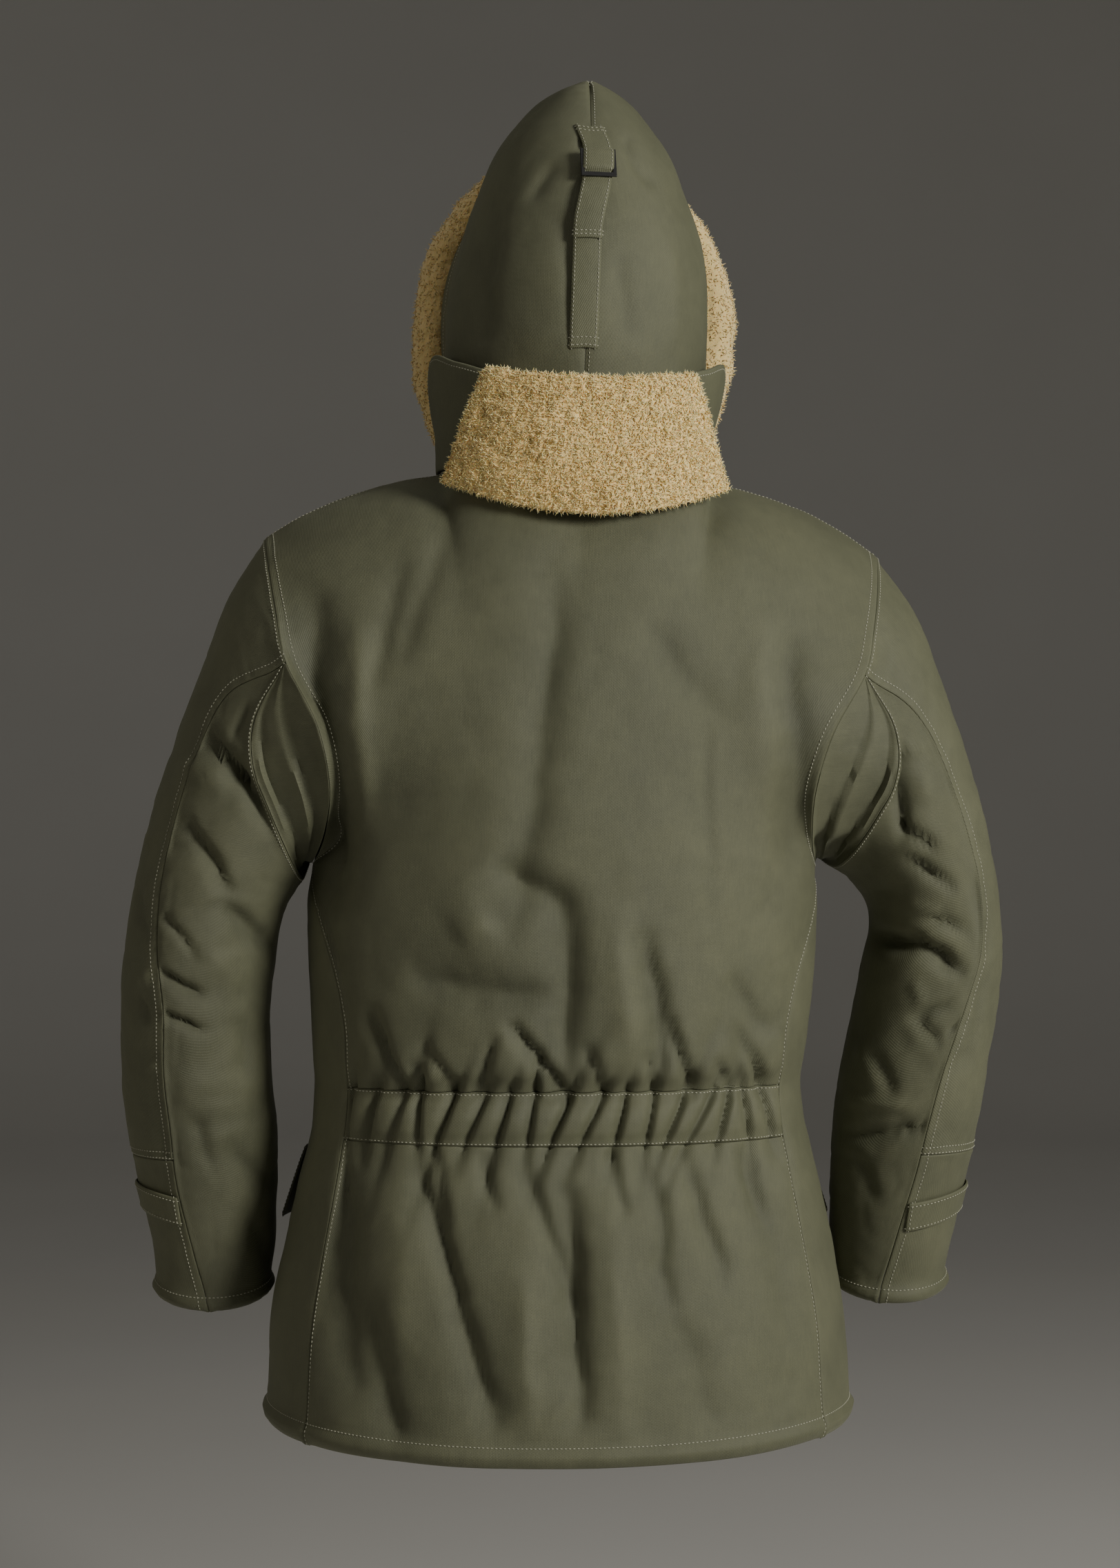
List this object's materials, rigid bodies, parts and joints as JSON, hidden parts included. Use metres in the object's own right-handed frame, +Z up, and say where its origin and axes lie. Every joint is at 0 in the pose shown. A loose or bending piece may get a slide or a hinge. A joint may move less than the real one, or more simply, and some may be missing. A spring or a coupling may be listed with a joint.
{
  "type": "flight parka",
  "caption": "Hooded hip-length flight parka, worn and empty, with fur collar and hood trim, gathered back waistband, pleated underarm gussets, cuff tabs and a hood strap.",
  "frame": {"origin": "middle of the neck opening, level with the side neck points of the shoulder seams", "axes": "+Z up the garment, +Y the way the wearer faces, +X the wearer's right"},
  "size_m": [0.7455, 0.3749, 1.1331],
  "materials": {
    "shell_cloth": "satin",
    "shearling": "matte",
    "dark_button": "satin",
    "black_metal": "satin"
  },
  "bodies": {
    "root": {"back_panel": "shell_cloth", "back_skirt": "shell_cloth", "back_waistband": "shell_cloth", "front_right": "shell_cloth", "front_left": "shell_cloth", "front_fly": "shell_cloth", "pocket_right": "shell_cloth", "pocket_left": "shell_cloth", "pocket_flap_right": "shell_cloth", "pocket_flap_left": "shell_cloth", "sleeve_outer_right": "shell_cloth", "sleeve_outer_left": "shell_cloth", "sleeve_end_right": "shell_cloth", "sleeve_end_left": "shell_cloth", "sleeve_under_right": "shell_cloth", "sleeve_under_left": "shell_cloth", "gusset_right": "shell_cloth", "gusset_left": "shell_cloth", "cuff_tab_right": "shell_cloth", "cuff_tab_left": "shell_cloth", "hood_right": "shell_cloth", "hood_left": "shell_cloth", "collar_stand": "shell_cloth", "hood_strap_long": "shell_cloth", "hood_strap_tab": "shell_cloth", "hood_strap_end": "shell_cloth", "hood_fur_trim": "shearling", "collar_fur": "shearling", "fly_button_1": "dark_button", "fly_button_2": "dark_button", "fly_button_3": "dark_button", "fly_button_4": "dark_button", "fly_button_5": "dark_button", "pocket_button_right": "dark_button", "cuff_button_right": "dark_button", "pocket_button_left": "dark_button", "cuff_button_left": "dark_button", "hood_buckle": "black_metal"}
  },
  "joints": []
}
